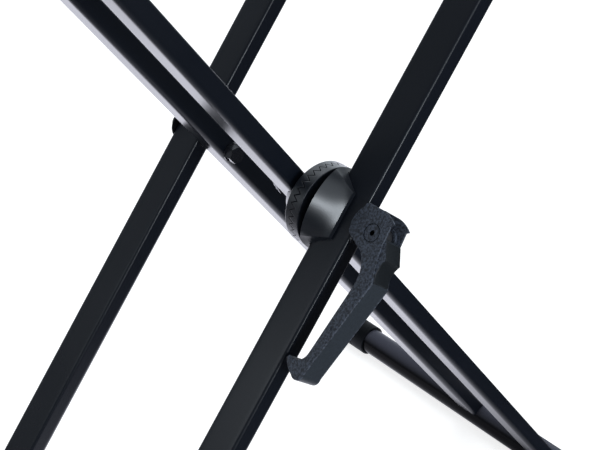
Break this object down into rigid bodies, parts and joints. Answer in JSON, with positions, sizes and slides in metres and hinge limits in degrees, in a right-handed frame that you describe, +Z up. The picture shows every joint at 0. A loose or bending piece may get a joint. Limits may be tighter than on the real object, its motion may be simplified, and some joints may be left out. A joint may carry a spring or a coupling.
{
  "type": "folding keyboard stand",
  "caption": "Black folding keyboard stand with crossed double legs, a toothed quick-release clutch with cam lever, tubular feet and arms, and rubber caps.",
  "frame": {"origin": "On the floor, straight below the pivot axis, midway between the two foot bars and midway between the two outer beams.", "axes": "X from the outer frame's foot bar to the inner frame's; Y along the pivot axis from the front (clutch) side to the rear; Z up."},
  "size_m": [0.726, 0.55, 0.9142],
  "materials": {
    "beam_paint": "semi-gloss black paint",
    "bar_paint": "gloss black paint",
    "dome_plastic": "satin dark plastic",
    "jaw_plastic": "matt dark plastic",
    "lever_plastic": "grained dark plastic",
    "bush_plastic": "matt",
    "bare_steel": "zinc plated",
    "dark_steel": "black oxide",
    "cap_rubber": "matt black",
    "pad_rubber": "ribbed matt black"
  },
  "bodies": {
    "outer_frame": {"outer_front_beam": "beam_paint", "outer_rear_beam": "beam_paint", "outer_foot_bar": "bar_paint", "outer_support_arm": "bar_paint", "outer_foot_cap_front": "cap_rubber", "outer_foot_cap_rear": "cap_rubber", "outer_arm_pad_front": "pad_rubber", "outer_arm_pad_rear": "pad_rubber", "outer_arm_stop_front": "cap_rubber", "outer_arm_stop_rear": "cap_rubber", "clutch_dome": "dome_plastic", "front_bush": "bush_plastic", "outer_rear_bush": "bush_plastic", "thrust_plate": "dark_steel"},
    "inner_frame": {"inner_front_beam": "beam_paint", "inner_rear_beam": "beam_paint", "inner_foot_bar": "bar_paint", "inner_support_arm": "bar_paint", "inner_foot_cap_front": "cap_rubber", "inner_foot_cap_rear": "cap_rubber", "inner_arm_pad_front": "pad_rubber", "inner_arm_pad_rear": "pad_rubber", "inner_arm_stop_front": "cap_rubber", "inner_arm_stop_rear": "cap_rubber", "front_jaw": "jaw_plastic", "spring_washers": "bare_steel", "inner_rear_bush": "bush_plastic", "rear_bolt": "dark_steel", "cover_washer": "cap_rubber", "rear_nut": "dark_steel", "pivot_spacer": "bush_plastic"},
    "pull_rod": {"draw_bar": "bare_steel", "draw_nut": "bare_steel", "draw_washer": "bare_steel", "lever_pin": "dark_steel"},
    "lever": {"lever": "lever_plastic"},
    "clutch_jaw": {"rear_jaw": "jaw_plastic", "thrust_sleeve": "bare_steel"}
  },
  "joints": [
    {"name": "fold", "type": "hinge", "parent": "outer_frame", "child": "inner_frame", "pos_m": [0, 0, 0.45864], "axis": [0, 1, 0], "range_deg": [-36, 71]},
    {"name": "rod_slide", "type": "slide", "parent": "outer_frame", "child": "pull_rod", "axis": [0, 1, 0], "range_m": [0, 0.0051]},
    {"name": "lever_open", "type": "hinge", "parent": "pull_rod", "child": "lever", "pos_m": [0, -0.1242, 0.45864], "axis": [-0.788, 0, 0.6157], "range_deg": [0, 88]},
    {"name": "jaw_slide", "type": "slide", "parent": "inner_frame", "child": "clutch_jaw", "axis": [0, 1, 0], "range_m": [0, 0.0051]}
  ],
  "couplings": [
    {"joint": "rod_slide", "follows": "lever_open", "m_per_rad": 0.0033206},
    {"joint": "jaw_slide", "follows": "lever_open", "m_per_rad": 0.0033206}
  ]
}
